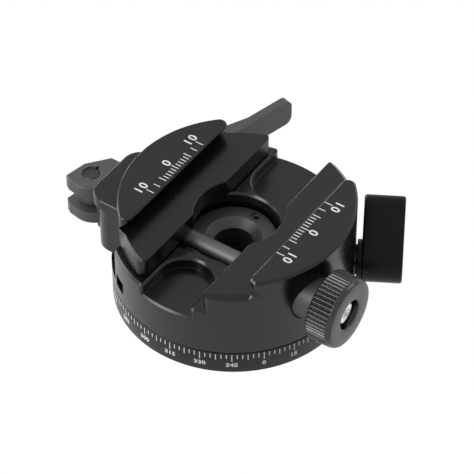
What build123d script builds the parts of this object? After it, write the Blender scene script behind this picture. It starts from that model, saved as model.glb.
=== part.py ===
"""Panning clamp for a tripod head: a turning body with a dovetail lever clamp on a scaled base.

The origin is on the pan axis at the resting face of the base. +Z is up, +X runs along the
clamp rod from the release lever to the knurled knob, and +Y runs along the dovetail channel.
Sizes are in millimetres.
"""
import os
from math import acos, atan2, cos, degrees, pi, radians, sin

from build123d import *

os.makedirs("parts", exist_ok=True)

# Driving dimensions
body_radius = 29.0
overall_height = 29.0
base_height = 6.45
deck_drop = 9.4
shelf_depth = 4.0
fixed_lip_x = 17.9
moving_lip_x = -15.3
fixed_shelf_x = 9.45
moving_shelf_x = -6.8
rod_y = -8.0
rod_sink = 1.3
rod_radius = 2.1

# Fits and clearances
running_gap = 0.05
thread_gap = 0.05
seam_gap = 0.2
overrun = 2.0
edge_break = 0.3

# Levels that several pieces share
body_bottom = base_height + seam_gap
deck_height = overall_height - deck_drop
rod_z = deck_height - rod_sink
shelf_z = overall_height - shelf_depth
deck_to_jaw = 0.5
jaw_bottom = deck_height + deck_to_jaw


def square_block(x_range, y_range, z_range, mode=Mode.SUBTRACT):
    """Adds or cuts a block between two corners, inside the current part."""
    (x0, x1), (y0, y1), (z0, z1) = x_range, y_range, z_range
    with BuildSketch(Plane.XY.offset(z0)) as section:
        with Locations(((x0 + x1) / 2, (y0 + y1) / 2)):
            Rectangle(x1 - x0, y1 - y0)
    extrude(section.sketch, amount=z1 - z0, mode=mode)


def round_bar(plane, radius, start, end, mode=Mode.ADD):
    """Adds or cuts a round bar along a plane's normal, from one distance to another."""
    with BuildSketch(plane.offset(start)) as section:
        Circle(radius)
    extrude(section.sketch, amount=end - start, mode=mode)


def save(piece, name):
    """Labels a finished piece and writes it under its own name."""
    piece.part.label = name
    export_step(piece.part, f"parts/{name}.step")


# Scale base: the disc with the degree scale, and the post that the body turns on
thread_radius = 4.05
thread_lead_in = 0.7
post_radius = 8.5
hub_sink = 3.6
hub_top = deck_height - hub_sink
hub_thickness = 3.2
hub_bottom = hub_top - hub_thickness
hub_spigot_radius = 6.5
hub_spigot_length = 4.6
base_thread_top = hub_bottom - hub_spigot_length - thread_gap

with BuildPart() as base_plate:
    with BuildSketch():
        Circle(body_radius)
    extrude(amount=base_height)
    chamfer(base_plate.edges().group_by(Axis.Z)[0], edge_break)
    chamfer(base_plate.edges().group_by(Axis.Z)[-1], edge_break / 2)
    round_bar(Plane.XY, post_radius, base_height, hub_bottom)
    round_bar(Plane.XY, hub_spigot_radius + thread_gap, base_thread_top, hub_bottom, Mode.SUBTRACT)
    round_bar(Plane.XY, thread_radius, -overrun, base_thread_top, Mode.SUBTRACT)
    thread_mouth = base_plate.edges().filter_by(GeomType.CIRCLE).group_by(Axis.Z)[0]
    chamfer(thread_mouth.sort_by(SortBy.RADIUS)[0], thread_lead_in)
save(base_plate, "base_plate")

# Retaining hub: the flanged nut in the middle of the body, with a countersunk screw hole
hub_radius = 10.4
screw_hole_radius = 4.8
sink_radius = 6.78
hub_screw_radius = 1.25
hub_screw_place = 8.7
hub_screw_angle = 86.0

with BuildPart() as retaining_hub:
    round_bar(Plane.XY, hub_radius, hub_bottom, hub_top)
    chamfer(retaining_hub.edges().group_by(Axis.Z)[-1], edge_break)
    round_bar(Plane.XY, hub_spigot_radius, hub_bottom - hub_spigot_length, hub_bottom)
    round_bar(Plane.XY, screw_hole_radius, 0, overall_height, Mode.SUBTRACT)
    hole_mouth = retaining_hub.edges().filter_by(GeomType.CIRCLE).group_by(Axis.Z)[-1]
    chamfer(hole_mouth.sort_by(SortBy.RADIUS)[0], sink_radius - screw_hole_radius)
    with PolarLocations(hub_screw_place, 1, start_angle=hub_screw_angle):
        with Locations((0, 0, hub_top)):
            Hole(hub_screw_radius + thread_gap, hub_thickness)
save(retaining_hub, "retaining_hub")

# Hub set screw: the small socket screw in the hub's flange that sets the pan drag
hub_screw_length = 2.7
hub_socket_flats = 1.3
hub_socket_depth = 1.2

with BuildPart() as hub_set_screw:
    with BuildSketch(Plane.XY.offset(hub_bottom)):
        with PolarLocations(hub_screw_place, 1, start_angle=hub_screw_angle):
            Circle(hub_screw_radius)
    extrude(amount=hub_screw_length)
    with BuildSketch(Plane.XY.offset(hub_bottom + hub_screw_length)):
        with PolarLocations(hub_screw_place, 1, start_angle=hub_screw_angle):
            RegularPolygon(hub_socket_flats / 2, 6, major_radius=False)
    extrude(amount=-hub_socket_depth, mode=Mode.SUBTRACT)
save(hub_set_screw, "hub_set_screw")

# Thrust washer: the thin ring that the hub's flange presses on the body's inner ledge
pocket_gap = 0.55
pocket_radius = hub_radius + pocket_gap
washer_thickness = 0.55
pocket_floor = hub_bottom - running_gap - washer_thickness
washer_margin = 0.2

with BuildPart() as thrust_washer:
    with BuildSketch(Plane.XY.offset(pocket_floor)):
        Circle(pocket_radius - washer_margin)
        Circle(post_radius + washer_margin, mode=Mode.SUBTRACT)
    extrude(amount=washer_thickness)
save(thrust_washer, "thrust_washer")

# Glide ring: the flat ring let into the underside of the body, which slides on the base
glide_inner_radius = 12.0
glide_inset = 5.4
glide_outer_radius = body_radius - glide_inset
glide_thickness = 0.75
glide_bottom = base_height + running_gap
glide_top = glide_bottom + glide_thickness

with BuildPart() as glide_ring:
    with BuildSketch(Plane.XY.offset(glide_bottom)):
        Circle(glide_outer_radius)
        Circle(glide_inner_radius, mode=Mode.SUBTRACT)
    extrude(amount=glide_thickness)
save(glide_ring, "glide_ring")

# Places of the side mechanisms, which the body is bored for
lock_angle = 30.0
lock_drop = 2.2
lock_height = hub_bottom - lock_drop
lock_out = Vector(cos(radians(lock_angle)), sin(radians(lock_angle)), 0)
lock_side = Vector(-sin(radians(lock_angle)), cos(radians(lock_angle)), 0)
lock_plane = Plane(origin=(0, 0, lock_height), x_dir=lock_side, z_dir=lock_out)
stud_radius = 2.0
bush_radius = 3.2
bush_length = 4.6
lock_seat_depth = 0.5
lock_seat = body_radius - lock_seat_depth
lock_collar_radius = 3.7
shoe_radius = 1.4
shoe_length = 4.4
shoe_start = post_radius + running_gap
shoe_end = shoe_start + shoe_length
lock_travel = 0.3
stud_start = shoe_end + lock_travel + running_gap

rod_plane = Plane(origin=(0, rod_y, rod_z), x_dir=(0, 1, 0), z_dir=(1, 0, 0))
rod_groove_gap = 0.4
rod_relief = 5.0
knob_collar_radius = 5.5
knob_collar_gap = 0.25
knob_seat_depth = 4.0
knob_seat_x = body_radius - knob_seat_depth

guide_pin_radius = 1.5
guide_pin_spread = 13.0
guide_pin_drop = 4.2
guide_pin_z = deck_height - guide_pin_drop
guide_pin_length = 15.1
guide_pin_cover = 2.9
block_overhang = 0.6
block_outer_x = -body_radius - block_overhang
guide_pin_tip_x = block_outer_x + guide_pin_cover
guide_pin_places = [rod_y - guide_pin_spread / 2, rod_y + guide_pin_spread / 2]
notch_depth = 10.9
notch_x = notch_depth - body_radius
block_drop = 6.8
block_bottom = deck_height - block_drop
notch_margin = 1.5
notch_floor = block_bottom - 2 * notch_margin
spring_well_radius = 2.4
spring_well_depth = 3.2
spring_well_x = notch_x + spring_well_depth

# Jaw block at the release lever's side, which the moving jaw and its notch share
block_half_width = 10.0
block_notch_gap = 1.1
block_inner_x = notch_x - block_notch_gap
block_top_step = 1.0
block_corner = 4.5

# Panning body: the turned body with the fixed jaw, its pockets, bores and the pan-lock seat
lip_land = 0.6
corner_radius = 1.8
shelf_corner_radius = 1.5
shelf_relief_radius = 12.0
slot_radius = 6.5
slot_x = 0.5
slot_depth = 2.9
slot_floor = deck_height - slot_depth
front_slot_run = 8.2
back_slot_run = 10.4
rim_break = 0.5
mouth_round = 0.8
shelf_bevel = 1.0
bevel_tool_reach = 0.5
bevel_overlap = 1.0
bevel_free_run = 5.0
window_angle = -122.6
window_width = 4.2
window_height = 3.6
window_depth = 2.6
window_rise = 4.75
window_z = body_bottom + window_rise


def lip_profile(tip_x, away, plate_top, lip_bottom):
    """Cuts the 45 degree dovetail flank under a lip whose tip is at tip_x, facing the channel."""
    rise = plate_top - lip_land - lip_bottom
    with BuildSketch(Plane.XZ) as section:
        with BuildLine():
            Polyline(
                (tip_x - away * overrun, lip_bottom),
                (tip_x + away * rise, lip_bottom),
                (tip_x, lip_bottom + rise),
                (tip_x, plate_top + overrun),
                (tip_x - away * overrun, plate_top + overrun),
                close=True,
            )
        make_face()
    extrude(section.sketch, amount=body_radius + overrun, both=True, mode=Mode.SUBTRACT)


def bevel_edge(edge_x, away, top_z):
    """Cuts the 45 degree bevel along a straight top edge that runs along Y."""
    with BuildSketch(Plane.XZ) as section:
        with BuildLine():
            Polyline(
                (edge_x - away * overrun, top_z - edge_break - overrun),
                (edge_x, top_z - edge_break),
                (edge_x + away * (edge_break + overrun), top_z + overrun),
                (edge_x - away * overrun, top_z + overrun),
                close=True,
            )
        make_face()
    extrude(section.sketch, amount=body_radius + overrun, both=True, mode=Mode.SUBTRACT)


def mill_bevel(centre_x, radius, end_x, tool_x):
    """Cuts the 45 degree bevel of a shelf's round edge, from its free end to the lip, on both sides.

    The cutter is a cone with an upright axis, so the bevel ends in a round run-out before the lip.
    """
    tip_z = shelf_z - shelf_bevel - bevel_tool_reach
    cut_top = shelf_z + edge_break
    tool_radius = radius + bevel_tool_reach
    end_angle = degrees(acos((end_x - centre_x) / radius))
    tool_angle = degrees(acos((tool_x - centre_x) / radius))
    for first, last in ((end_angle, tool_angle), (-end_angle, -tool_angle)):
        start, arc = min(first, last), abs(first - last)
        plane = Plane(
            origin=(centre_x, 0, 0),
            x_dir=(cos(radians(start)), sin(radians(start)), 0),
            z_dir=(sin(radians(start)), -cos(radians(start)), 0),
        )
        with BuildSketch(plane) as section:
            with BuildLine():
                Polyline(
                    (tool_radius - (cut_top - tip_z), cut_top),
                    (tool_radius, tip_z),
                    (tool_radius, cut_top),
                    close=True,
                )
            make_face()
        revolve(section.sketch, Axis((centre_x, 0, 0), (0, 0, 1)), arc, mode=Mode.SUBTRACT)
        tool_y = tool_radius * sin(radians(last))
        with Locations((centre_x + tool_radius * cos(radians(last)), tool_y, tip_z)):
            Cone(
                0,
                cut_top - tip_z,
                cut_top - tip_z,
                align=(Align.CENTER, Align.CENTER, Align.MIN),
                mode=Mode.SUBTRACT,
            )


def sink_rim(centre_x, radius, depth, top_z):
    """Cuts the 45 degree rim of a round opening whose edge lies at top_z."""
    with BuildSketch(Plane.XY.offset(top_z - depth)) as section:
        with Locations((centre_x, 0)):
            Circle(radius)
    extrude(section.sketch, amount=depth + edge_break, taper=-45, mode=Mode.SUBTRACT)


with BuildPart() as pan_body:
    round_bar(Plane.XY, body_radius, body_bottom, slot_floor)
    chamfer(pan_body.edges().group_by(Axis.Z)[0], edge_break / 2)
    chamfer(pan_body.edges().group_by(Axis.Z)[-1], rim_break)

    # The deck's layer with its two round-ended slots, open to the front and to the back
    with BuildSketch(Plane.XY.offset(slot_floor - rim_break)):
        Circle(body_radius)
        for slot_run, outward in ((front_slot_run, -1), (back_slot_run, 1)):
            slot_y = outward * (body_radius - slot_run)
            with Locations((slot_x, slot_y)):
                Circle(slot_radius, mode=Mode.SUBTRACT)
            with Locations((slot_x, slot_y + outward * slot_run)):
                Rectangle(2 * slot_radius, 2 * slot_run, mode=Mode.SUBTRACT)
        rim_points = [
            point
            for point in vertices()
            if abs((point.X ** 2 + point.Y ** 2) ** 0.5 - body_radius) < running_gap
            and point.X < fixed_shelf_x
        ]
        fillet(rim_points, mouth_round)
    extrude(amount=deck_height - slot_floor + rim_break)
    chamfer(pan_body.edges().group_by(Axis.Z)[-1], rim_break)

    # The notch for the moving jaw's block
    square_block(
        (-body_radius - overrun, notch_x),
        (-body_radius - overrun, rod_y + block_half_width + notch_margin),
        (notch_floor, overall_height),
    )

    # The shelf of the fixed jaw, with its corner and the round relief over the hub
    with BuildSketch(Plane.XY.offset(deck_height - rim_break)):
        Circle(body_radius)
        with Locations((fixed_shelf_x, 0)):
            Rectangle(body_radius, 2 * body_radius, align=(Align.MIN, Align.CENTER), mode=Mode.INTERSECT)
        fillet(vertices().group_by(Axis.X)[0], shelf_corner_radius)
        Circle(shelf_relief_radius, mode=Mode.SUBTRACT)
    extrude(amount=shelf_z - deck_height + rim_break)
    bevel_edge(fixed_shelf_x, 1, shelf_z)
    sink_rim(0, shelf_relief_radius, edge_break, shelf_z)

    # The lip of the fixed jaw, a segment of the same circle
    with BuildSketch(Plane.XY.offset(shelf_z)):
        Circle(body_radius)
        with Locations((fixed_lip_x, 0)):
            Rectangle(body_radius, 2 * body_radius, align=(Align.MIN, Align.CENTER), mode=Mode.INTERSECT)
        fillet(vertices(), corner_radius)
    extrude(amount=shelf_depth)
    top_face = pan_body.faces().filter_by(Plane.XY).sort_by(Axis.Z)[-1]
    chamfer(top_face.edges().filter_by(GeomType.CIRCLE), rim_break)
    lip_profile(fixed_lip_x, 1, overall_height, shelf_z)
    bevel_edge(fixed_lip_x, 1, overall_height)
    mill_bevel(0, body_radius, fixed_shelf_x - bevel_free_run, fixed_lip_x + bevel_overlap)

    # The hub pocket, the post's bore and the recess for the glide ring
    round_bar(Plane.XY, pocket_radius, pocket_floor, deck_height, Mode.SUBTRACT)
    sink_rim(0, pocket_radius, rim_break, deck_height)
    round_bar(Plane.XY, post_radius + running_gap, 0, deck_height, Mode.SUBTRACT)
    with BuildSketch(Plane.XY.offset(body_bottom - overrun)):
        Circle(glide_outer_radius)
        Circle(glide_inner_radius, mode=Mode.SUBTRACT)
    extrude(amount=glide_top - body_bottom + overrun, mode=Mode.SUBTRACT)

    # The groove for the clamp rod, wider above the rod's axis, its bore, and the seat of the knob's collar
    groove_radius = rod_radius + rod_groove_gap
    round_bar(rod_plane, groove_radius, -body_radius - overrun, fixed_shelf_x, Mode.SUBTRACT)
    square_block(
        (-body_radius - overrun, fixed_shelf_x),
        (rod_y - rod_relief, rod_y + groove_radius),
        (rod_z, shelf_z),
    )
    round_bar(rod_plane, rod_radius + running_gap, 0, body_radius + overrun, Mode.SUBTRACT)
    collar_hole_radius = knob_collar_radius + knob_collar_gap
    round_bar(rod_plane, collar_hole_radius, knob_seat_x, body_radius + overrun, Mode.SUBTRACT)

    # The holes for the guide pins and their spring wells
    for pin_y in guide_pin_places:
        pin_plane = Plane(origin=(0, pin_y, guide_pin_z), z_dir=(1, 0, 0))
        pin_end_x = guide_pin_tip_x + guide_pin_length
        round_bar(pin_plane, guide_pin_radius, notch_x, pin_end_x, Mode.SUBTRACT)
        round_bar(pin_plane, spring_well_radius, notch_x - overrun, spring_well_x, Mode.SUBTRACT)

    # The small window through the wall beside the notch
    window_plane = Plane(
        origin=(0, 0, window_z),
        x_dir=(-sin(radians(window_angle)), cos(radians(window_angle)), 0),
        z_dir=(cos(radians(window_angle)), sin(radians(window_angle)), 0),
    )
    with BuildSketch(window_plane.offset(body_radius - window_depth)):
        Rectangle(window_width, window_height)
    extrude(amount=window_depth + overrun, mode=Mode.SUBTRACT)

    # The bores of the pan lock
    round_bar(lock_plane, shoe_radius + running_gap, 0, shoe_end, Mode.SUBTRACT)
    round_bar(lock_plane, stud_radius + running_gap, shoe_end, body_radius + overrun, Mode.SUBTRACT)
    round_bar(lock_plane, bush_radius, lock_seat - bush_length, body_radius + overrun, Mode.SUBTRACT)
    round_bar(lock_plane, lock_collar_radius, lock_seat, body_radius + overrun, Mode.SUBTRACT)
save(pan_body, "pan_body")

# Guide pins: two dowels pressed into the body, on which the moving jaw slides
with BuildPart() as guide_pins:
    for pin_y in guide_pin_places:
        pin_plane = Plane(origin=(0, pin_y, guide_pin_z), z_dir=(1, 0, 0))
        round_bar(pin_plane, guide_pin_radius, guide_pin_tip_x, guide_pin_tip_x + guide_pin_length)
save(guide_pins, "guide_pins")

# Moving jaw: the plate with its lip and shelf, on a block that hangs over the side of the body
jaw_inset = 0.9
jaw_radius = body_radius - jaw_inset
jaw_centre_x = 1.2
jaw_relief_x = 3.1
pad_thickness = 1.2
pad_setback = 0.4
pad_step = 0.3
pad_top = shelf_z + pad_step
pad_face_x = block_outer_x + pad_setback
pad_back_x = pad_face_x + pad_thickness
guide_hole_room = 0.8
guide_hole_end_x = guide_pin_tip_x - guide_hole_room
jaw_rod_gap = 0.3
block_tiers = (
    (pad_back_x, block_inner_x, block_bottom, jaw_bottom),
    (pad_back_x, moving_lip_x, jaw_bottom, pad_top),
    (block_outer_x, moving_lip_x, pad_top, overall_height - block_top_step),
)

with BuildPart() as moving_jaw:
    # The shelf plate
    with BuildSketch(Plane.XY.offset(jaw_bottom)):
        with Locations((jaw_centre_x, 0)):
            Circle(jaw_radius)
        with Locations((moving_shelf_x, 0)):
            Rectangle(2 * jaw_radius, 2 * body_radius, align=(Align.MAX, Align.CENTER), mode=Mode.INTERSECT)
        fillet(vertices(), corner_radius)
        with Locations((jaw_relief_x, 0)):
            Circle(shelf_relief_radius, mode=Mode.SUBTRACT)
    extrude(amount=shelf_z - jaw_bottom)
    chamfer(moving_jaw.edges().group_by(Axis.Z)[-1], edge_break)

    # The lip, a segment of the same circle with rounded corners
    with BuildSketch(Plane.XY.offset(shelf_z - edge_break)):
        with Locations((jaw_centre_x, 0)):
            Circle(jaw_radius)
        with Locations((moving_lip_x, 0)):
            Rectangle(2 * jaw_radius, 2 * body_radius, align=(Align.MAX, Align.CENTER), mode=Mode.INTERSECT)
        fillet(vertices(), corner_radius)
    extrude(amount=shelf_depth + edge_break)
    lip_top = moving_jaw.faces().filter_by(Plane.XY).sort_by(Axis.Z)[-1]
    chamfer(lip_top.edges().filter_by(GeomType.CIRCLE), edge_break)

    # The block in three tiers: the part in the body's notch, the part beside it and the ledge
    for outer_x, inner_x, z0, z1 in block_tiers:
        with BuildSketch(Plane.XY.offset(z0)):
            with Locations((outer_x, rod_y)):
                Rectangle(inner_x - outer_x, 2 * block_half_width, align=(Align.MIN, Align.CENTER))
            fillet(vertices().group_by(Axis.X)[0], block_corner)
        extrude(amount=z1 - z0)
    ledge_face = moving_jaw.faces().filter_by(Plane.XY).filter_by_position(
        Axis.Z, block_tiers[-1][3] - edge_break, block_tiers[-1][3] + edge_break
    )[0]
    chamfer(ledge_face.edges().group_by(Axis.X)[0], edge_break)
    lip_profile(moving_lip_x, -1, overall_height, shelf_z)
    bevel_edge(moving_lip_x, -1, overall_height)
    mill_bevel(jaw_centre_x, jaw_radius, moving_shelf_x + bevel_free_run, moving_lip_x - bevel_overlap)

    # The groove over the clamp rod and the bores for the guide pins
    round_bar(rod_plane, rod_radius + jaw_rod_gap, -body_radius - overrun, 0, Mode.SUBTRACT)
    for pin_y in guide_pin_places:
        pin_plane = Plane(origin=(0, pin_y, guide_pin_z), z_dir=(1, 0, 0))
        round_bar(pin_plane, guide_pin_radius + running_gap, guide_hole_end_x, 0, Mode.SUBTRACT)
save(moving_jaw, "moving_jaw")

# Jaw springs: two coils round the guide pins, which push the jaw out when the lever opens
spring_wire = 0.45
spring_coil_radius = (guide_pin_radius + spring_well_radius) / 2
spring_turns = 4
spring_slack = 0.03
spring_start = block_inner_x + spring_wire / 2 + spring_slack
spring_length = spring_well_x - block_inner_x - spring_wire - 2 * spring_slack
spring_pitch = spring_length / spring_turns


def coil_point(turn, axis_y):
    """The point and the tangent of a spring's centre line after a number of turns."""
    angle = 2 * pi * turn
    point = Vector(
        spring_start + spring_pitch * turn,
        axis_y + spring_coil_radius * cos(angle),
        guide_pin_z + spring_coil_radius * sin(angle),
    )
    tangent = Vector(
        spring_pitch / (2 * pi), -spring_coil_radius * sin(angle), spring_coil_radius * cos(angle)
    )
    return point, tangent.normalized()


with BuildPart() as jaw_springs:
    for pin_y in guide_pin_places:
        with BuildLine() as coil:
            for quarter in range(4 * spring_turns):
                start, start_along = coil_point(quarter / 4, pin_y)
                end, end_along = coil_point((quarter + 1) / 4, pin_y)
                # Two arcs that meet where their equal tangent lengths give a common tangent
                chord, along = end - start, start_along + end_along
                bend = 2 * (1 - start_along.dot(end_along))
                slant = chord.dot(along)
                reach = ((slant ** 2 + bend * chord.dot(chord)) ** 0.5 - slant) / bend
                middle = (start + start_along * reach + end - end_along * reach) / 2
                first = TangentArc(start, middle, tangent=start_along)
                TangentArc(middle, end, tangent=first % 1)
        with BuildSketch(Plane(origin=coil.line @ 0, z_dir=coil.line % 0)):
            Circle(spring_wire / 2)
        sweep(path=coil.line)
save(jaw_springs, "jaw_springs")
coil_points = [coil_point(i / 24, 0)[0] for i in range(24 * spring_turns + 1)]
coil_gap = min(
    (a - b).length for i, a in enumerate(coil_points) for b in coil_points[i + 12:]
) - spring_wire
print("least gap between the turns of a jaw spring:", round(coil_gap, 3), "mm")

# Cam pad: the black wear plate let into the block's outer side, which the lever's cam bears on
pad_half_width = 6.5
pad_corner = 3.0
pad_rod_gap = 0.5
pad_foot = 0.2
pad_bottom = block_bottom + pad_foot

with BuildPart() as cam_pad:
    with BuildSketch(Plane(origin=(pad_face_x, rod_y, 0), x_dir=(0, 1, 0), z_dir=(1, 0, 0))):
        with Locations((0, (pad_bottom + pad_top) / 2)):
            Rectangle(2 * pad_half_width, pad_top - pad_bottom)
        fillet(vertices().group_by(Axis.Z)[0], pad_corner)
        with Locations((0, rod_z)):
            Circle(rod_radius + pad_rod_gap, mode=Mode.SUBTRACT)
    extrude(amount=pad_thickness)
save(cam_pad, "cam_pad")

# Clamp rod: the pull rod from the lever's eye through both jaws to the thread in the knob
lever_pin_reach = 5.8
lever_pin_x = block_outer_x - lever_pin_reach
lever_pin_radius = 2.0
eye_radius = 3.6
rod_thread_radius = 1.9
rod_thread_run = 4.0
rod_thread_start_x = body_radius - rod_thread_run
knob_standoff = 1.8
knob_start_x = body_radius + knob_standoff
rod_thread_in_knob = 4.8
rod_end_x = knob_start_x + rod_thread_in_knob
rod_tap_radius = 1.25
rod_tap_depth = 4.0

with BuildPart() as clamp_rod:
    round_bar(rod_plane, rod_radius, lever_pin_x, rod_thread_start_x)
    round_bar(rod_plane, rod_thread_radius, rod_thread_start_x, rod_end_x)
    eye_plane = Plane(origin=(lever_pin_x, rod_y, rod_z))
    round_bar(eye_plane, eye_radius, -rod_radius, rod_radius)
    round_bar(eye_plane, lever_pin_radius + running_gap, -rod_radius, rod_radius, Mode.SUBTRACT)
    round_bar(rod_plane, rod_tap_radius, rod_end_x - rod_tap_depth, rod_end_x, Mode.SUBTRACT)
save(clamp_rod, "clamp_rod")

# Release lever: a clevis with a cam round its pin, and an arm that hugs the body to the handle
lever_rise = 4.2
lever_top = deck_height + lever_rise
lever_bottom = block_bottom
arm_rise = 0.4
arm_top = deck_height + arm_rise
arm_step = 0.2
arm_bottom = lever_bottom + arm_step
clevis_play = 0.1
clevis_gap_top = rod_z + rod_radius + clevis_play
clevis_gap_bottom = rod_z - rod_radius - clevis_play
clevis_gap_depth = 3.8
cam_radius = 5.85
cam_offset_x = 0.3
cam_offset_y = 0.45
cam_root_angle = 30.0
ear_foot_x = -3.2
ear_foot_y = -4.85
ear_corner_x = -4.8
ear_corner_y = -3.9
ear_corner_round = 0.7
shoulder_start_x = -3.6
shoulder_start_y = 1.9
shoulder_end_x = 0.6
shoulder_end_y = 7.2
arm_gap = 0.9
arm_inner_radius = body_radius + arm_gap
arm_elbow_reach = 5.4
arm_elbow_radius = body_radius + arm_elbow_reach
arm_elbow_angle = 127.6
arm_meet_angle = 127.2
arm_root_angle = 175.0
handle_angle = 75.4
handle_thickness = 2.4
handle_length = 20.95
handle_knee = 8.6
handle_top_round = 1.7
handle_bottom_round = 2.1
pin_sink = 0.3
pin_keyway = 0.8


def polar(radius, angle):
    """A point at an angle in degrees from +X, seen from above."""
    return Vector(radius * cos(radians(angle)), radius * sin(radians(angle)), 0)


handle_along = polar(1, handle_angle)
handle_across = Vector(-handle_along.Y, handle_along.X, 0)
arm_meet = polar(arm_inner_radius, arm_meet_angle)
arm_root = polar(arm_inner_radius, arm_root_angle)
arm_mid = polar(arm_inner_radius, (arm_meet_angle + arm_root_angle) / 2)
handle_tip_inner = arm_meet + handle_along * handle_length
handle_tip_outer = handle_tip_inner + handle_across * handle_thickness
handle_knee_outer = arm_meet + handle_across * handle_thickness + handle_along * handle_knee
lever_pin_plane = Plane(origin=(lever_pin_x, rod_y, 0))
lever_pin_place = lever_pin_plane.origin
cam_centre = lever_pin_place + Vector(cam_offset_x, cam_offset_y, 0)
cam_root = cam_centre + polar(cam_radius, cam_root_angle)
ear_foot = lever_pin_place + Vector(ear_foot_x, ear_foot_y, 0)
to_foot = ear_foot - cam_centre
cam_foot_angle = degrees(atan2(to_foot.Y, to_foot.X) + acos(cam_radius / to_foot.length))
cam_foot = cam_centre + polar(cam_radius, cam_foot_angle)
cam_face = cam_centre + polar(cam_radius, (cam_foot_angle + cam_root_angle) / 2)
ear_corner = lever_pin_place + Vector(ear_corner_x, ear_corner_y, 0)
shoulder_start = lever_pin_place + Vector(shoulder_start_x, shoulder_start_y, 0)
shoulder_end = lever_pin_place + Vector(shoulder_end_x, shoulder_end_y, 0)
shoulder_root = Vector(cam_root.X, shoulder_end.Y, 0)

with BuildPart() as clamp_lever:
    # The cam and clevis, cut flat on the side away from the jaw
    with BuildSketch(Plane.XY.offset(lever_bottom)):
        with BuildLine():
            ThreePointArc(cam_foot, cam_face, cam_root)
            Polyline(
                cam_root, shoulder_root, shoulder_end, shoulder_start, ear_corner, ear_foot, cam_foot
            )
        make_face()
        fillet(vertices().group_by(Axis.X)[0], ear_corner_round)
    extrude(amount=lever_top - lever_bottom)
    chamfer(clamp_lever.faces().sort_by(Axis.Z)[-1].edges(), edge_break)

    # The arm and the handle, whose free end is rounded above and below
    with BuildSketch(Plane.XY.offset(arm_bottom)):
        with BuildLine():
            Polyline(
                cam_root,
                cam_centre,
                shoulder_start,
                polar(arm_elbow_radius, arm_elbow_angle),
                handle_knee_outer,
                handle_tip_outer,
                handle_tip_inner,
                arm_meet,
            )
            ThreePointArc(arm_meet, arm_mid, arm_root)
            Line(arm_root, cam_root)
        make_face()
    extrude(amount=arm_top - arm_bottom)
    tip_axis = Axis(origin=(0, 0, 0), direction=handle_along)
    tip_edges = clamp_lever.faces().sort_by(tip_axis)[-1].edges().filter_by(Plane.XY).sort_by(Axis.Z)
    fillet(tip_edges[0], handle_bottom_round)
    tip_edges = clamp_lever.faces().filter_by(GeomType.PLANE).sort_by(tip_axis)[-1].edges()
    fillet(tip_edges.filter_by(Plane.XY).sort_by(Axis.Z)[-1], handle_top_round)

    # The slot for the rod's eye and the bore of the pin with its sink and key notch
    square_block(
        (lever_pin_x - cam_radius - overrun, lever_pin_x + cam_radius + overrun),
        (rod_y - cam_radius - overrun, rod_y + clevis_gap_depth),
        (clevis_gap_bottom, clevis_gap_top),
    )
    round_bar(lever_pin_plane, lever_pin_radius, 0, overall_height, Mode.SUBTRACT)
    round_bar(lever_pin_plane, lever_pin_radius + pin_sink, lever_top - pin_sink, lever_top, Mode.SUBTRACT)
    square_block(
        (lever_pin_x - pin_keyway / 2, lever_pin_x + pin_keyway / 2),
        (rod_y, rod_y + lever_pin_radius + pin_keyway),
        (lever_top - pin_keyway, lever_top),
    )
save(clamp_lever, "clamp_lever")

# Lever pin: the upright pin through the clevis and the rod's eye
lever_pin_setback = 0.2

with BuildPart() as lever_pin:
    pin_start, pin_end = lever_bottom + lever_pin_setback, lever_top - lever_pin_setback
    round_bar(lever_pin_plane, lever_pin_radius, pin_start, pin_end)
    chamfer(lever_pin.edges().filter_by(GeomType.CIRCLE), edge_break)
save(lever_pin, "lever_pin")

# Knob collar: the plain sleeve between the body's flat seat and the knob
collar_end_x = knob_start_x - running_gap

with BuildPart() as knob_collar:
    round_bar(rod_plane, knob_collar_radius, knob_seat_x, collar_end_x)
    chamfer(knob_collar.edges().group_by(Axis.X)[-1], edge_break / 2)
    round_bar(rod_plane, rod_radius + running_gap, 0, collar_end_x + overrun, Mode.SUBTRACT)
save(knob_collar, "knob_collar")

# Knurled knob: the adjusting nut on the rod's thread, with straight ridges round its rim
knob_radius = 8.7
knob_length = 6.9
knob_end_x = knob_start_x + knob_length
knob_face_radius = 8.2
knurl_count = 48
knurl_depth = 0.35
knurl_length = 5.7
knurl_front_x = knob_start_x + knurl_length
knob_recess_radius = 3.7
knob_recess_depth = 3.05

with BuildPart() as knurled_knob:
    with BuildSketch(rod_plane.offset(knob_start_x)):
        with BuildLine():
            Polyline(
                [
                    (
                        (knob_radius - knurl_depth * (i % 2)) * cos(pi * i / knurl_count),
                        (knob_radius - knurl_depth * (i % 2)) * sin(pi * i / knurl_count),
                    )
                    for i in range(2 * knurl_count)
                ],
                close=True,
            )
        make_face()
    extrude(amount=knurl_front_x - knob_start_x)
    with BuildSketch(rod_plane.offset(knurl_front_x)):
        Circle(knob_radius)
    with BuildSketch(rod_plane.offset(knob_end_x)):
        Circle(knob_face_radius)
    loft()
    round_bar(rod_plane, knob_recess_radius, knob_end_x - knob_recess_depth, knob_end_x, Mode.SUBTRACT)
    round_bar(rod_plane, rod_thread_radius + thread_gap, knob_start_x, knob_end_x, Mode.SUBTRACT)
save(knurled_knob, "knurled_knob")

# Knob screw: the bright socket screw in the rod's end, which stops the knob from coming off
knob_screw_head_radius = 2.75
knob_screw_head_length = 1.1
knob_socket_flats = 2.5
knob_socket_depth = 0.9

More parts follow.
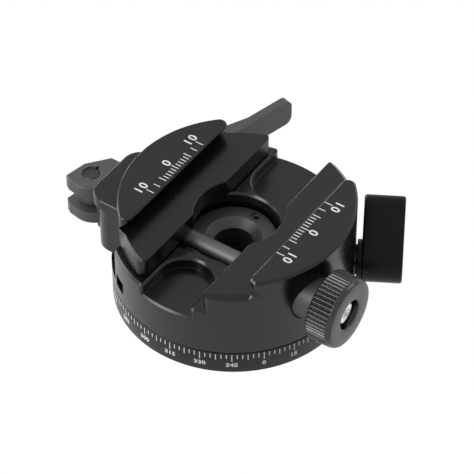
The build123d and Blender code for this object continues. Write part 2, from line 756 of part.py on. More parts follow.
with BuildPart() as knob_screw:
    round_bar(rod_plane, rod_tap_radius, rod_end_x - rod_tap_depth + edge_break, rod_end_x)
    round_bar(rod_plane, knob_screw_head_radius, rod_end_x, rod_end_x + knob_screw_head_length)
    chamfer(knob_screw.edges().group_by(Axis.X)[-1], edge_break)
    with BuildSketch(rod_plane.offset(rod_end_x + knob_screw_head_length)):
        RegularPolygon(knob_socket_flats / 2, 6, major_radius=False)
    extrude(amount=-knob_socket_depth, mode=Mode.SUBTRACT)
save(knob_screw, "knob_screw")

# Lock bush: the threaded steel bush in the body's wall for the pan lock's stud
with BuildPart() as lock_bush:
    round_bar(lock_plane, bush_radius, lock_seat - bush_length, lock_seat)
    round_bar(lock_plane, stud_radius + thread_gap, 0, body_radius + overrun, Mode.SUBTRACT)
save(lock_bush, "lock_bush")

# Brake shoe: the soft metal plug that the stud presses on the post
with BuildPart() as brake_shoe:
    round_bar(lock_plane, shoe_radius, shoe_start, shoe_end)
    chamfer(brake_shoe.edges().group_by(Axis(origin=(0, 0, 0), direction=lock_out))[-1], edge_break)
save(brake_shoe, "brake_shoe")

# Lock collar: the ring between the body's wall and the pan-lock lever's boss
lock_boss_gap = 0.3
lock_boss_start = body_radius + lock_boss_gap
lock_collar_end = lock_boss_start - running_gap

with BuildPart() as lock_collar:
    round_bar(lock_plane, lock_collar_radius, lock_seat, lock_collar_end)
    chamfer(lock_collar.edges().group_by(Axis(origin=(0, 0, 0), direction=lock_out))[-1], edge_break / 2)
    round_bar(lock_plane, stud_radius + running_gap, 0, lock_collar_end + overrun, Mode.SUBTRACT)
save(lock_collar, "lock_collar")

# Pan-lock lever: the moulded flag-shaped lever on the stud, with a boss towards the body
lock_lever_standoff = 1.4
lock_lever_start = body_radius + lock_lever_standoff
lock_boss_radius = 4.9
lock_lever_width = 9.8
lock_lever_hub_radius = 5.2
lock_lever_reach = 15.5
lock_lever_tip_thickness = 7.5
lock_lever_tilt = 42.0
lock_lever_round = 0.8
stud_socket_depth = 6.6
stud_end = lock_lever_start + stud_socket_depth
lock_lever_plane = Plane(
    origin=lock_out * lock_lever_start + Vector(0, 0, lock_height),
    x_dir=lock_side * cos(radians(lock_lever_tilt)) + Vector(0, 0, sin(radians(lock_lever_tilt))),
    z_dir=lock_out,
)

with BuildPart() as lock_lever:
    with BuildSketch(lock_lever_plane):
        Circle(lock_lever_hub_radius)
        with BuildLine():
            Polyline(
                (0, lock_lever_hub_radius),
                (0, -lock_lever_hub_radius),
                (lock_lever_reach, -lock_lever_tip_thickness / 2),
                (lock_lever_reach, lock_lever_tip_thickness / 2),
                close=True,
            )
        make_face()
        fillet(vertices().group_by(Axis.X)[-1], lock_lever_round)
    extrude(amount=lock_lever_width)
    round_bar(lock_plane, lock_boss_radius, lock_boss_start, lock_lever_start)
    round_bar(lock_plane, stud_radius, 0, stud_end, Mode.SUBTRACT)
save(lock_lever, "lock_lever")

# Lock stud: the threaded stud moulded into the pan-lock lever
with BuildPart() as lock_stud:
    round_bar(lock_plane, stud_radius, stud_start, stud_end)
save(lock_stud, "lock_stud")
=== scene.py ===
"""Panning clamp for a tripod head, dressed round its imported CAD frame.

Places and sizes are in metres, in the frame's own axes: +Z is up along the pan axis, +X runs
along the clamp rod towards the knurled knob and +Y along the dovetail channel.
"""

import bmesh
import bpy
import numpy as np
from mathutils import Matrix, Vector


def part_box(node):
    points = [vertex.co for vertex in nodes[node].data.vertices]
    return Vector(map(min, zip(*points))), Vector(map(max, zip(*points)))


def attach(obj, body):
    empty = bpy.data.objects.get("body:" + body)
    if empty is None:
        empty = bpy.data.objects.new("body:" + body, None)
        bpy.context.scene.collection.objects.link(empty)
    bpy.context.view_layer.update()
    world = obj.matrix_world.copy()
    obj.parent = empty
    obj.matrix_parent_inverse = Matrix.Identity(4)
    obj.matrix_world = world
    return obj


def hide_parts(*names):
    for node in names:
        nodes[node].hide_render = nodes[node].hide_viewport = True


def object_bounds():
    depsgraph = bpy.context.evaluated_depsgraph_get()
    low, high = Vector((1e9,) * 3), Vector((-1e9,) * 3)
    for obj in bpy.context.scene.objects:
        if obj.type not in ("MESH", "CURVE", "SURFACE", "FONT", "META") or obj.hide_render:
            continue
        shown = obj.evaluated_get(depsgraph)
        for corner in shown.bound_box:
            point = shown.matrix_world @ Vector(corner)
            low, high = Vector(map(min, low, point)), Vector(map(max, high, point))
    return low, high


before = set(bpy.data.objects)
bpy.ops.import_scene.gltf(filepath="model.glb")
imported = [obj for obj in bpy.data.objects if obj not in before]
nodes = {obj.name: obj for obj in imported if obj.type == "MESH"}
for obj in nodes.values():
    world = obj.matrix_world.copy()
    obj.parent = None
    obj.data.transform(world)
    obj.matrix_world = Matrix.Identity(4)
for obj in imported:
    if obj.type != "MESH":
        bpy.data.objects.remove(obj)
cad_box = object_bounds()

# Scale base: the disc that rests on the tripod head, with the post that the body turns on. It is
# turned from aluminium bar, tapped 3/8 inch with 16 turns to the inch and anodised black.
MM = 0.001
base_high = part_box("base_plate")[1]
hub_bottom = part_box("retaining_hub")[0].z
skin = 0.02 * MM
base_radius = base_high.x - skin
base_height = 6.45 * MM
base_edge = 0.3 * MM
post_radius = 8.5 * MM
spigot_bore = 6.55 * MM
thread_bore = 4.05 * MM
thread_mouth = 0.7 * MM
thread_pitch = 25.4 / 16 * MM
thread_depth = 0.68 * MM
thread_slope = 2.5
thread_fade = 0.3
thread_rows = 90
base_segments = 360
edge_softness = 0.12 * MM
edge_break = 0.18 * MM


def softened(corners, reach, steps=4):
    """Rounds each corner C of a closed outline with the curve (1-t)^2 A + 2t(1-t) C + t^2 B, where A
    and B lie on the two sides at the distance reach from C."""
    corners = np.asarray(corners, float)
    to_last = np.roll(corners, 1, 0) - corners
    to_next = np.roll(corners, -1, 0) - corners
    last_length = np.linalg.norm(to_last, axis=1, keepdims=True)
    next_length = np.linalg.norm(to_next, axis=1, keepdims=True)
    reach = np.minimum(reach, 0.45 * np.minimum(last_length, next_length))
    start = (corners + to_last / last_length * reach)[:, None]
    end = (corners + to_next / next_length * reach)[:, None]
    t = np.linspace(0, 1, steps)[None, :, None]
    curve = (1 - t) ** 2 * start + 2 * t * (1 - t) * corners[:, None] + t**2 * end
    return curve.reshape(-1, corners.shape[1])


def shell(name, points, wraps=(True, True), crease=32):
    """Makes a closed piece of the grid points[row, column]: a face joins each point to the next in
    its row and in its column, a wrapped direction joins its last point to its first, points that
    fall together become one, and the faces are turned outwards."""
    rows, columns = points.shape[:2]
    index = np.arange(rows * columns).reshape(rows, columns)
    if wraps[0]:
        index = np.vstack([index, index[:1]])
    if wraps[1]:
        index = np.hstack([index, index[:, :1]])
    quads = np.stack([index[:-1, :-1], index[:-1, 1:], index[1:, 1:], index[1:, :-1]], -1)
    return solid(name, points.reshape(-1, 3), quads.reshape(-1, 4), crease)


def solid(name, corners, faces, crease=32):
    """Makes a piece of corners and faces, merges corners that fall together and turns the faces
    outwards: their signed volume, the sum of a.(b x c) over fans of each face, is made positive."""
    fan = np.asarray([face[:3] for face in faces] + [[face[0], face[-2], face[-1]] for face in faces])
    a, b, c = (corners[fan[:, i]] for i in range(3))
    if np.einsum("ij,ij->i", a, np.cross(b, c)).sum() < 0:
        faces = [face[::-1] for face in faces]
    mesh = bpy.data.meshes.new(name)
    mesh.from_pydata(corners.tolist(), [], [list(map(int, face)) for face in faces])
    work = bmesh.new()
    work.from_mesh(mesh)
    bmesh.ops.remove_doubles(work, verts=work.verts, dist=0.0005 * MM)
    work.to_mesh(mesh)
    work.free()
    mesh.shade_smooth()
    mesh.set_sharp_from_angle(angle=np.radians(crease))
    piece = bpy.data.objects.new(name, mesh)
    bpy.context.scene.collection.objects.link(piece)
    return piece


def turned(name, profile, segments, swing=None, axis=Matrix.Identity(4)):
    """Carries a closed profile of (radius, height) rows round an axis. swing(radius, height, angle)
    may move the radius in or out round the turn, as a thread or a knurl does."""
    angle = np.linspace(0, 2 * np.pi, segments, endpoint=False)[None]
    radius, height = (np.repeat(profile[:, i : i + 1], segments, 1) for i in range(2))
    if swing is not None:
        radius = swing(radius, height, angle)
    local = np.stack([radius * np.cos(angle), radius * np.sin(angle), height, np.ones_like(height)], -1)
    return shell(name, (local @ np.array(axis).T)[..., :3])


def thread_swing(radius, height, angle):
    """Cuts a V thread outwards into the small bore: the depth is a triangle wave of height over
    pitch less the part of a turn, and it fades out over the last half turn at each end."""
    phase = (height / thread_pitch - angle / (2 * np.pi)) % 1
    wave = np.clip(thread_slope * (0.5 - np.abs(phase - 0.5)), 0, 1)
    run = np.minimum(height - thread_mouth, hub_bottom - height)
    fade = np.clip(run / thread_pitch + thread_fade, 0, 1)
    cut = np.abs(radius - thread_bore) < skin
    return radius + np.where(cut, thread_depth * wave * fade, 0)


corners = np.array([
    (thread_bore + thread_mouth, 0),
    (base_radius - base_edge, 0),
    (base_radius, base_edge),
    (base_radius, base_height - base_edge / 2),
    (base_radius - base_edge / 2, base_height),
    (post_radius, base_height),
    (post_radius, base_high.z),
    (spigot_bore, base_high.z),
    (spigot_bore, hub_bottom),
    (thread_bore, hub_bottom),
])
rows = np.linspace(hub_bottom - edge_softness, thread_mouth, thread_rows)
bore_rows = np.stack([np.full_like(rows, thread_bore), rows], 1)
profile = np.vstack([softened(corners, edge_softness), bore_rows])
scale_base = turned("scale_base", profile, base_segments, thread_swing)

cloud_scale = 140
speckle_scale = 2600
bead_scale = 5200
ring_scale = 3600
speckle_range = (0.3, 0.7)
bevel_samples = 6


def finish(
    name, tones, roughness, metallic=0.0, grain=0.0, rings=0.0,
    centre=(0, 0, 0), turn=(0, 0, 0), shine=0.5,
):
    """Makes a finish: clouds of two close tones, a roughness between two values in a finer noise,
    edges that catch the light as a broken edge does, a standing grain, and the rings that turning
    leaves, a noise of the distance from the lathe axis and of the height along it. centre and turn
    place that axis; grain and rings are depths, and shine is the strength of the clear reflection."""
    material = bpy.data.materials.new(name)
    material.use_nodes = True
    tree = material.node_tree
    shader = tree.nodes["Principled BSDF"]
    shader.inputs["Metallic"].default_value = metallic
    shader.inputs["Specular IOR Level"].default_value = shine

    def add(kind, links=(), **settings):
        node = tree.nodes.new(kind)
        for key, value in settings.items():
            if hasattr(node, key):
                setattr(node, key, value)
            else:
                node.inputs[key.replace("_", " ").title()].default_value = value
        for source, target in links:
            tree.links.new(source, node.inputs[target])
        return node

    place = add("ShaderNodeTexCoord").outputs["Object"]
    clouds = add("ShaderNodeTexNoise", [(place, "Vector")], scale=cloud_scale, detail=3)
    tone = add("ShaderNodeMix", [(clouds.outputs["Fac"], 0)], data_type="RGBA")
    tone.inputs[6].default_value = (*tones[0], 1)
    tone.inputs[7].default_value = (*tones[1], 1)
    tree.links.new(tone.outputs[2], shader.inputs["Base Color"])
    speckle = add("ShaderNodeTexNoise", [(place, "Vector")], scale=speckle_scale, detail=2)
    gloss = add("ShaderNodeMapRange", [(speckle.outputs["Fac"], "Value")])
    gloss.inputs["From Min"].default_value, gloss.inputs["From Max"].default_value = speckle_range
    gloss.inputs["To Min"].default_value, gloss.inputs["To Max"].default_value = roughness
    tree.links.new(gloss.outputs["Result"], shader.inputs["Roughness"])
    beads = add("ShaderNodeTexNoise", [(place, "Vector")], scale=bead_scale, detail=2)
    edges = add("ShaderNodeBevel", samples=bevel_samples, radius=edge_break)
    links = [(beads.outputs["Fac"], "Height"), (edges.outputs["Normal"], "Normal")]
    bump = add("ShaderNodeBump", links, strength=1.0, distance=grain)
    if rings:
        lathe = add("ShaderNodeMapping", [(place, "Vector")], vector_type="TEXTURE")
        lathe.inputs["Location"].default_value = centre
        lathe.inputs["Rotation"].default_value = turn
        part = add("ShaderNodeSeparateXYZ", [(lathe.outputs["Vector"], "Vector")])
        flat = add("ShaderNodeCombineXYZ", [(part.outputs["X"], "X"), (part.outputs["Y"], "Y")])
        out = add("ShaderNodeVectorMath", [(flat.outputs["Vector"], 0)], operation="LENGTH")
        track = add("ShaderNodeCombineXYZ", [(out.outputs["Value"], "X"), (part.outputs["Z"], "Y")])
        links = [(track.outputs["Vector"], "Vector")]
        ridges = add("ShaderNodeTexNoise", links, scale=ring_scale, detail=1)
        links = [(ridges.outputs["Fac"], "Height"), (bump.outputs["Normal"], "Normal")]
        bump = add("ShaderNodeBump", links, strength=1.0, distance=rings)
    tree.links.new(bump.outputs["Normal"], shader.inputs["Normal"])
    return material


def wear(piece, material):
    """Gives every material slot of a piece one finish, and makes a slot where it has none."""
    if not piece.material_slots:
        piece.data.materials.append(material)
    for slot in piece.material_slots:
        slot.material = material


black_tones = ((0.0035, 0.0035, 0.0037), (0.0055, 0.0055, 0.0057))
base_black = finish(
    "base_black_anodised", black_tones, (0.3, 0.36), grain=1.5e-6, rings=1.5e-6, shine=0.32
)
wear(scale_base, base_black)
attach(scale_base, "scale_base")
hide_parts("base_plate")

# Degree scale: a line every 2.5 degrees and a number every 15, engraved by laser through the black
# anodising of the base's wall. The numbers rise counter-clockwise, seen from above.
scale_start = -41.3
scale_top = 6.03 * MM
line_width = 0.24 * MM
line_lengths = {2.5: 1.35 * MM, 7.5: 1.8 * MM, 15: 2.2 * MM}
number_height = 1.3 * MM
number_middle = 2.65 * MM
number_width_share = 1.12
number_weight = 0.045
engraving_step = 0.008 * MM


def bricks(name, boxes):
    """Makes a closed six-sided brick of each boxes[i], whose eight corners stand in a 2 x 2 x 2
    grid, one side of the grid for each direction."""
    sides = [(0, 1, 3, 2), (4, 6, 7, 5), (0, 4, 5, 1), (2, 3, 7, 6), (0, 2, 6, 4), (1, 5, 7, 3)]
    faces = (np.array(sides)[None] + 8 * np.arange(len(boxes))[:, None, None]).reshape(-1, 4)
    return solid(name, boxes.reshape(-1, 3), faces, crease=20)


def around(radius, angle, height):
    """Points on a cylinder about the pan axis: radius cos(angle), radius sin(angle), height."""
    radius, angle, height = np.broadcast_arrays(radius, angle, height)
    return np.stack([radius * np.cos(angle), radius * np.sin(angle), height], -1)


def engraved_text(words, height, width_share, spacing=1.06, weight=0.028):
    """The corners and faces of words as a flat plate: x along the words from their middle, y up
    from the figures' middle, both in metres, and z from -1 to 1 through the plate."""
    curve = bpy.data.curves.new("figures", "FONT")
    curve.body = words
    curve.align_x = "CENTER"
    curve.space_character = spacing
    curve.offset = weight
    curve.extrude = 1.0
    curve.resolution_u = 4
    holder = bpy.data.objects.new("figures", curve)
    bpy.context.scene.collection.objects.link(holder)
    mesh = bpy.data.meshes.new_from_object(holder)
    corners = np.empty(3 * len(mesh.vertices))
    mesh.vertices.foreach_get("co", corners)
    corners = corners.reshape(-1, 3)
    faces = [list(face.vertices) for face in mesh.polygons]
    bpy.data.objects.remove(holder)
    low, high = corners.min(0), corners.max(0)
    corners[:, :2] = (corners[:, :2] - (low + high)[:2] / 2) * height / (high - low)[1]
    corners[:, 0] *= width_share
    return corners, faces


def joined(name, parts):
    """One piece from a list of (corners, faces)."""
    starts = np.cumsum([0] + [len(corners) for corners, _ in parts])
    faces = [[start + i for i in face] for start, (_, fan) in zip(starts, parts) for face in fan]
    return solid(name, np.vstack([corners for corners, _ in parts]), faces, crease=20)


turns = np.arange(0, 360, 2.5)
lengths = np.select(
    [turns % 15 == 0, turns % 7.5 == 0], [line_lengths[15], line_lengths[7.5]], line_lengths[2.5]
)
angles = np.radians(scale_start + turns)[:, None, None, None]
radii = (base_radius + np.array([-1, 1]) * engraving_step)[None, :, None, None]
spread = (np.array([-0.5, 0.5]) * line_width / base_radius)[None, None, :, None]
heights = (scale_top - np.stack([np.zeros_like(lengths), lengths], 1))[:, None, None, :]
degree_lines = bricks("degree_lines", around(radii, angles + spread, heights))
numbers = []
for degrees in range(0, 360, 15):
    corners, faces = engraved_text(str(degrees), number_height, number_width_share, weight=number_weight)
    angle = np.radians(scale_start + degrees) + corners[:, 0] / base_radius
    wall = base_radius + corners[:, 2] * engraving_step
    numbers.append((around(wall, angle, number_middle + corners[:, 1]), faces))
degree_numbers = joined("degree_numbers", numbers)
laser_tones = ((0.7, 0.7, 0.69), (0.84, 0.84, 0.83))
laser_white = finish("laser_engraving", laser_tones, (0.55, 0.7), grain=3e-6)
for piece in (degree_lines, degree_numbers):
    wear(piece, laser_white)
    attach(piece, "scale_base")

# Retaining hub: the flanged nut that holds the body down, turned with a countersunk hole for the
# head's screw, and its small stainless set screw in the flange.
hub_tones = ((0.085, 0.085, 0.087), (0.105, 0.105, 0.107))
hub_grey = finish("turned_grey_anodised", hub_tones, (0.46, 0.54), 0.8, grain=1e-6, rings=4e-6)
ground_tones = ((0.135, 0.135, 0.136), (0.16, 0.16, 0.161))
ground_steel = finish("ground_steel", ground_tones, (0.5, 0.58), 1.0, grain=1e-6)
steel_tones = ((0.46, 0.46, 0.455), (0.56, 0.56, 0.55))
bright_steel = finish("turned_steel", steel_tones, (0.2, 0.3), 1.0, grain=1e-6, rings=2e-6)
wear(nodes["retaining_hub"], hub_grey)
wear(nodes["hub_set_screw"], ground_steel)

# Thrust washer and glide ring: the brass ring under the hub's flange and the black acetal ring let
# into the body's underside, the two faces that the body turns on.
brass_tones = ((0.60, 0.44, 0.19), (0.70, 0.53, 0.25))
turned_brass = finish("turned_brass", brass_tones, (0.24, 0.34), 1.0, grain=1e-6, rings=3e-6)
acetal_tones = ((0.012, 0.012, 0.012), (0.017, 0.017, 0.017))
black_acetal = finish("machined_acetal", acetal_tones, (0.42, 0.55), grain=2e-6, rings=3e-6)
wear(nodes["thrust_washer"], turned_brass)
wear(nodes["glide_ring"], black_acetal)

# Panning body: turned from aluminium bar, milled with the fixed jaw, the shelf, the slots and the
# seats of the knob and the pan lock, bead blasted and anodised black.
turned_black = finish(
    "turned_black_anodised", black_tones, (0.22, 0.28), grain=1.5e-6, rings=1.5e-6, shine=0.43
)
blasted_black = finish("blasted_black_anodised", black_tones, (0.25, 0.31), grain=2.5e-6, shine=0.37)
wear(nodes["pan_body"], turned_black)

# Guide pins and jaw springs: ground steel dowels pressed into the body, and the two coils of
# spring wire round them that push the jaw open.
wire_tones = ((0.36, 0.36, 0.36), (0.44, 0.44, 0.43))
spring_wire = finish("spring_wire", wire_tones, (0.25, 0.38), 1.0, grain=1.5e-6)
wear(nodes["guide_pins"], bright_steel)
wear(nodes["jaw_springs"], spring_wire)

# Moving jaw: the milled plate with its lip, shelf and block, bead blasted and anodised black, and
# the black acetal wear pad let into the block's outer side.
wear(nodes["moving_jaw"], blasted_black)
wear(nodes["cam_pad"], black_acetal)

# Jaw scales: a line every millimetre, engraved by laser into the tops of both jaws, with figures
# that stand outboard of the lines. They show how far a plate's middle is from the clamp's.
jaw_top = cad_box[1].z
jaw_line_width = 0.27 * MM
jaw_figure_height = 2.35 * MM
jaw_figure_share = 1.02
jaw_figure_spacing = 1.22
jaw_figure_weight = 0.024
scale_middle = 0.5 * MM
jaw_lines = {0: 2.15, 5: 2.15, 7.5: 1.85, 10: 2.15}
jaw_short_line = 1.6
fixed_lines_x = 18.5 * MM
fixed_figures_x = 21.95 * MM
moving_lines_x = -15.95 * MM
moving_figures_x = -19.5 * MM
for jaw, outward, lines_x, figures_x in (
    ("turning_body", 1, fixed_lines_x, fixed_figures_x),
    ("jaw", -1, moving_lines_x, moving_figures_x),
):
    steps = np.array([-10, -7.5, *range(-5, 6), 7.5, 10])
    runs = np.array([jaw_lines.get(abs(step), jaw_short_line) for step in steps]) * MM
    x = (lines_x + outward * np.stack([np.zeros_like(runs), runs], 1))[:, :, None, None]
    y = (scale_middle + steps[:, None] * MM + np.array([-0.5, 0.5]) * jaw_line_width)[:, None, :, None]
    z = (jaw_top + np.array([-1, 1]) * engraving_step)[None, None, None, :]
    lines = bricks(jaw + "_scale_lines", np.stack(np.broadcast_arrays(x, y, z), -1))
    figures = []
    for step, words in ((-10, "10"), (0, "0"), (10, "10")):
        corners, faces = engraved_text(
            words, jaw_figure_height, jaw_figure_share, jaw_figure_spacing, jaw_figure_weight
        )
        across = np.stack([
            figures_x + outward * corners[:, 1],
            scale_middle + step * MM - outward * corners[:, 0],
            jaw_top + corners[:, 2] * engraving_step,
        ], -1)
        figures.append((across, faces))
    for piece in (lines, joined(jaw + "_scale_figures", figures)):
        wear(piece, laser_white)
        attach(piece, jaw)

# Clamp rod: the ground steel pull rod, with an eye for the lever's pin at one end and the thread
# of the knob at the other.
wear(nodes["clamp_rod"], ground_steel)

# Release lever: milled from aluminium with its cam and clevis, blasted and anodised dark grey, and
# the steel pin that joins it to the rod's eye.
lever_tones = ((0.045, 0.045, 0.0455), (0.056, 0.056, 0.0565))
blasted_grey = finish("blasted_dark_anodised", lever_tones, (0.4, 0.46), grain=3e-6)
pin_tones = ((0.05, 0.05, 0.05), (0.07, 0.07, 0.07))
pin_steel = finish("blackened_steel", pin_tones, (0.3, 0.4), 1.0, grain=1e-6)
wear(nodes["clamp_lever"], blasted_grey)
wear(nodes["lever_pin"], pin_steel)

# Adjusting knob: turned from aluminium with straight round ridges on its rim, anodised dark grey.
# It screws on the rod's thread against a plain sleeve, and a bright socket screw stops it.
knob_low, knob_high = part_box("knurled_knob")
rod_height = (knob_low.z + knob_high.z) / 2
rod_side = (knob_low.y + knob_high.y) / 2
knob_radius = (knob_high.z - knob_low.z) / 2
ridge_count = 48
ridge_depth = 0.55 * MM
knob_back_bevel = 0.35 * MM
ridge_front = 5.7 * MM
knob_length = knob_high.x - knob_low.x
face_radius = 8.2 * MM
recess_radius = 3.7 * MM
recess_depth = 3.05 * MM
recess_edge = 0.25 * MM
knob_bore = 1.95 * MM
ridge_margin = 0.25 * MM
rim_drop = 0.04 * MM
rim_run = 0.3 * MM
knob_softness = 0.3 * MM
steps_per_ridge = 12
rod_axis = Matrix.Translation((knob_low.x, rod_side, rod_height)) @ Matrix.Rotation(np.pi / 2, 4, "Y")


def ridge_swing(radius, height, angle):
    """Rounds the rim into ridges: between them the radius drops by the depth times 1 - |cos| of
    half the ridge count times the angle, from the back to a short fade before the front rim."""
    rim = np.clip((radius - knob_radius + 2 * ridge_depth) / ridge_depth, 0, 1)
    fade = np.clip((ridge_front - height) / ridge_margin, 0, 1)
    return radius - rim * fade * ridge_depth * (1 - np.abs(np.cos(ridge_count / 2 * angle)))


knob_profile = np.array([
    (knob_bore, 0),
    (knob_radius - knob_back_bevel, 0),
    (knob_radius, knob_back_bevel),
    *[(knob_radius, ridge_front - share * ridge_margin) for share in (1.5, 1, 0.75, 0.5, 0.25, 0)],
    (knob_radius - rim_drop, ridge_front + rim_run),
    (face_radius, knob_length),
    (recess_radius + recess_edge, knob_length),
    (recess_radius, knob_length - recess_edge),
    (recess_radius, knob_length - recess_depth),
    (knob_bore, knob_length - recess_depth),
])
knob_profile = softened(knob_profile, knob_softness)
ridged_knob = turned("ridged_knob", knob_profile, steps_per_ridge * ridge_count, ridge_swing, rod_axis)
knob_tones = ((0.052, 0.052, 0.0525), (0.064, 0.064, 0.0645))
turned_grey = finish(
    "turned_dark_anodised", knob_tones, (0.22, 0.28), 0.9, grain=2e-6, rings=2e-6,
    centre=(0, rod_side, rod_height), turn=(0, np.pi / 2, 0),
)
screw_tones = ((0.76, 0.76, 0.75), (0.84, 0.84, 0.83))
screw_steel = finish("polished_screw", screw_tones, (0.06, 0.12), 1.0, grain=1e-6)
wear(ridged_knob, turned_grey)
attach(ridged_knob, "knob")
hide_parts("knurled_knob")
wear(nodes["knob_collar"], hub_grey)
wear(nodes["knob_screw"], screw_steel)

# Pan lock: a brass bush in the body's wall, the brake shoe inside it, a plain collar, and the
# moulded black lever with its boss on the stud, rounded at its ends and edges as a mould leaves it.
lock_angle = np.radians(30)
lock_tilt = np.radians(42)
lock_height = 10.6 * MM
lock_start = 30.4 * MM
lock_width = 9.8 * MM
lock_reach = 15.5 * MM
boss_start = 29.3 * MM
boss_radius = 4.9 * MM
boss_overlap = 0.8 * MM
lock_hub_radius = 5.2 * MM
lock_tip_half = 3.75 * MM
lock_tip_round = 2.6 * MM
lock_edge_round = 0.6 * MM
least_round = 0.1 * MM
bend_steps = 6
cap_shares = (1, 0.6, 0.2)
boss_segments = 128
stud_radius = 2.0 * MM
lock_out = np.array([np.cos(lock_angle), np.sin(lock_angle), 0])
lock_side = np.array([-np.sin(lock_angle), np.cos(lock_angle), 0])
lock_up = np.array([0, 0, 1.0])
lock_along = lock_side * np.cos(lock_tilt) + lock_up * np.sin(lock_tilt)
lock_across = np.cross(lock_out, lock_along)


def half_outline(inset, hub_steps=24, side_steps=14, tip_steps=8):
    """One side of the lever's outline, from the hub's end to the tip's middle: a quarter turn of the
    hub's circle, the straight taper, the round corner and the tip, all moved in by inset."""
    hub, tip = lock_hub_radius - inset, lock_tip_half - inset
    end, corner = lock_reach - inset, max(lock_tip_round - inset, least_round)
    turn = np.linspace(np.pi, np.pi / 2, hub_steps)
    arc = np.stack([hub * np.cos(turn), hub * np.sin(turn)], 1)
    taper = np.linspace(0, 1, side_steps)[1:-1, None]
    side = (1 - taper) * [[0, hub]] + taper * [[end - corner, tip]]
    turn = np.linspace(np.pi / 2, 0, tip_steps)
    round_end = np.stack([end - corner + corner * np.cos(turn), tip - corner + corner * np.sin(turn)], 1)
    middle = np.array([[end, (tip - corner) / 2], [end, 0]])
    return np.vstack([arc, side, round_end, middle])


def lever_ring(inset, height):
    """The whole outline at one height across the lever, from its half and the mirror image."""
    half = half_outline(inset)
    ring = np.vstack([half, half[-2:0:-1] * [1, -1]])
    return np.hstack([ring, np.full((len(ring), 1), height)])


def spine_ring(ring, share):
    """Draws a ring in towards the lever's middle line by a share of the way."""
    spine = np.stack([np.clip(ring[:, 0], 0, lock_reach / 2), np.zeros(len(ring)), ring[:, 2]], 1)
    return ring + (spine - ring) * share


bend = np.linspace(0, np.pi / 2, bend_steps)
insets = lock_edge_round * (1 - np.sin(bend))
rises = lock_edge_round * (1 - np.cos(bend))
lower = [lever_ring(inset, rise) for inset, rise in zip(insets, rises)]
upper = [lever_ring(inset, lock_width - rise) for inset, rise in zip(insets[::-1], rises[::-1])]
caps = [[spine_ring(ring, share) for share in cap_shares] for ring in (lower[0], upper[-1])]
local = np.stack([*caps[0], *lower, *upper, *caps[1][::-1]])
local = (
    lock_out * (lock_start + local[..., 2:]) + lock_up * lock_height
    + lock_along * local[..., :1] + lock_across * local[..., 1:2]
)
moulded_lever = shell("moulded_lock_lever", local, wraps=(False, True))
moulded_tones = ((0.002, 0.002, 0.0021), (0.0035, 0.0035, 0.0036))
moulded_black = finish("moulded_black_plastic", moulded_tones, (0.34, 0.42), grain=4e-6, shine=0.18)
wear(moulded_lever, moulded_black)
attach(moulded_lever, "lock")
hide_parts("lock_lever")
lock_axis = Matrix((lock_side, lock_up, lock_out)).transposed().to_4x4()
lock_axis.translation = Vector(lock_up * lock_height + lock_out * boss_start)
boss_end = lock_start + boss_overlap - boss_start
corners = [(stud_radius, 0), (boss_radius, 0), (boss_radius, boss_end), (stud_radius, boss_end)]
lever_boss = turned("lever_boss", softened(corners, edge_softness), boss_segments, axis=lock_axis)
wear(lever_boss, moulded_black)
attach(lever_boss, "lock")
wear(nodes["lock_collar"], turned_grey)
wear(nodes["lock_bush"], turned_brass)
wear(nodes["brake_shoe"], turned_brass)
wear(nodes["lock_stud"], bright_steel)

# Stage: a pale floor that the camera and glossy surfaces see as white, a white room round it, and
# four soft lights, with the camera at the photograph's viewing angle.
camera_turn, camera_rise = np.radians(34.438), np.radians(44.753)
camera_distance = 644.37 * MM
camera_shift = (-0.826 * MM, -11.197 * MM)
focal_pixels, picture_pixels = 2681.2, 474
sensor_width = 36
level = np.cos(camera_rise)
back = Vector((np.sin(camera_turn) * level, -np.cos(camera_turn) * level, np.sin(camera_rise)))
right = Vector((np.cos(camera_turn), np.sin(camera_turn), 0))
up = back.cross(right)
view = bpy.data.cameras.new("photo_view")
view.sensor_width = sensor_width
view.lens = focal_pixels / picture_pixels * sensor_width
view.clip_start, view.clip_end = 0.01, 20
camera = bpy.data.objects.new("photo_view", view)
camera.matrix_world = Matrix.Translation(
    back * camera_distance - right * camera_shift[0] - up * camera_shift[1]
) @ Matrix((right, up, back)).transposed().to_4x4()
bpy.context.scene.collection.objects.link(camera)
bpy.context.scene.camera = camera

floor_size = 6.0
floor_drop = 0.03 * MM
floor_tone = (0.8, 0.8, 0.8, 1)
room_light = 0.55
mesh = bpy.data.meshes.new("floor")
half_size = floor_size / 2
mesh.from_pydata(
    [(x * half_size, y * half_size, -floor_drop) for x, y in ((-1, -1), (1, -1), (1, 1), (-1, 1))],
    [], [(0, 1, 2, 3)],
)
floor = bpy.data.objects.new("floor", mesh)
bpy.context.scene.collection.objects.link(floor)


def seen_as_white(tree):
    """A value of 1 for what the camera, a reflection or a look through glass sees, else 0."""
    path = tree.nodes.new("ShaderNodeLightPath")
    total = path.outputs["Is Camera Ray"]
    for ray in ("Is Glossy Ray", "Is Transmission Ray"):
        largest = tree.nodes.new("ShaderNodeMath")
        largest.operation = "MAXIMUM"
        tree.links.new(total, largest.inputs[0])
        tree.links.new(path.outputs[ray], largest.inputs[1])
        total = largest.outputs[0]
    return total


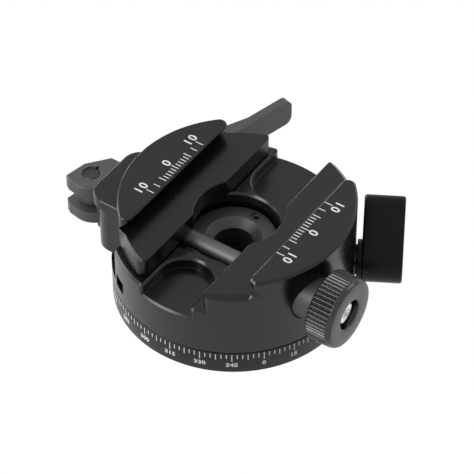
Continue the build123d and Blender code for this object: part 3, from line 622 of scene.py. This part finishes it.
pale = bpy.data.materials.new("pale_floor")
pale.use_nodes = True
tree = pale.node_tree
tree.nodes.clear()
matt = tree.nodes.new("ShaderNodeBsdfDiffuse")
matt.inputs["Color"].default_value = floor_tone
glow = tree.nodes.new("ShaderNodeEmission")
glow.inputs["Strength"].default_value = 1.0
place = tree.nodes.new("ShaderNodeNewGeometry")
out = tree.nodes.new("ShaderNodeVectorMath")
out.operation = "LENGTH"
tree.links.new(place.outputs["Position"], out.inputs[0])
beside = tree.nodes.new("ShaderNodeMath")
beside.operation = "GREATER_THAN"
beside.inputs[1].default_value = post_radius
tree.links.new(out.outputs["Value"], beside.inputs[0])
shown = tree.nodes.new("ShaderNodeMath")
shown.operation = "MULTIPLY"
tree.links.new(seen_as_white(tree), shown.inputs[0])
tree.links.new(beside.outputs[0], shown.inputs[1])
mix = tree.nodes.new("ShaderNodeMixShader")
tree.links.new(shown.outputs[0], mix.inputs[0])
tree.links.new(matt.outputs[0], mix.inputs[1])
tree.links.new(glow.outputs[0], mix.inputs[2])
tree.links.new(mix.outputs[0], tree.nodes.new("ShaderNodeOutputMaterial").inputs["Surface"])
floor.data.materials.append(pale)

world = bpy.data.worlds.new("white_room")
world.use_nodes = True
bpy.context.scene.world = world
tree = world.node_tree
tree.nodes.clear()
glows = []
for strength in (room_light, 1.0):
    glow = tree.nodes.new("ShaderNodeBackground")
    glow.inputs["Strength"].default_value = strength
    glows.append(glow)
mix = tree.nodes.new("ShaderNodeMixShader")
tree.links.new(seen_as_white(tree), mix.inputs[0])
tree.links.new(glows[0].outputs[0], mix.inputs[1])
tree.links.new(glows[1].outputs[0], mix.inputs[2])
tree.links.new(mix.outputs[0], tree.nodes.new("ShaderNodeOutputWorld").inputs["Surface"])

for name, place, size, watts in (
    ("key_light", (-0.42, -0.7, 0.6), 0.4, 4.0),
    ("side_light", (-0.8, -0.1, 0.3), 0.6, 4.8),
    ("edge_light", (-0.78, 0.56, 0.22), 0.3, 2.8),
    ("back_light", (0.3, 0.7, 0.6), 0.5, 1.2),
):
    lamp = bpy.data.lights.new(name, "AREA")
    lamp.size = size
    lamp.energy = watts
    light = bpy.data.objects.new(name, lamp)
    light.location = place
    light.rotation_euler = Vector(place).to_track_quat("Z", "Y").to_euler()
    bpy.context.scene.collection.objects.link(light)
bpy.context.scene.view_settings.view_transform = "Standard"
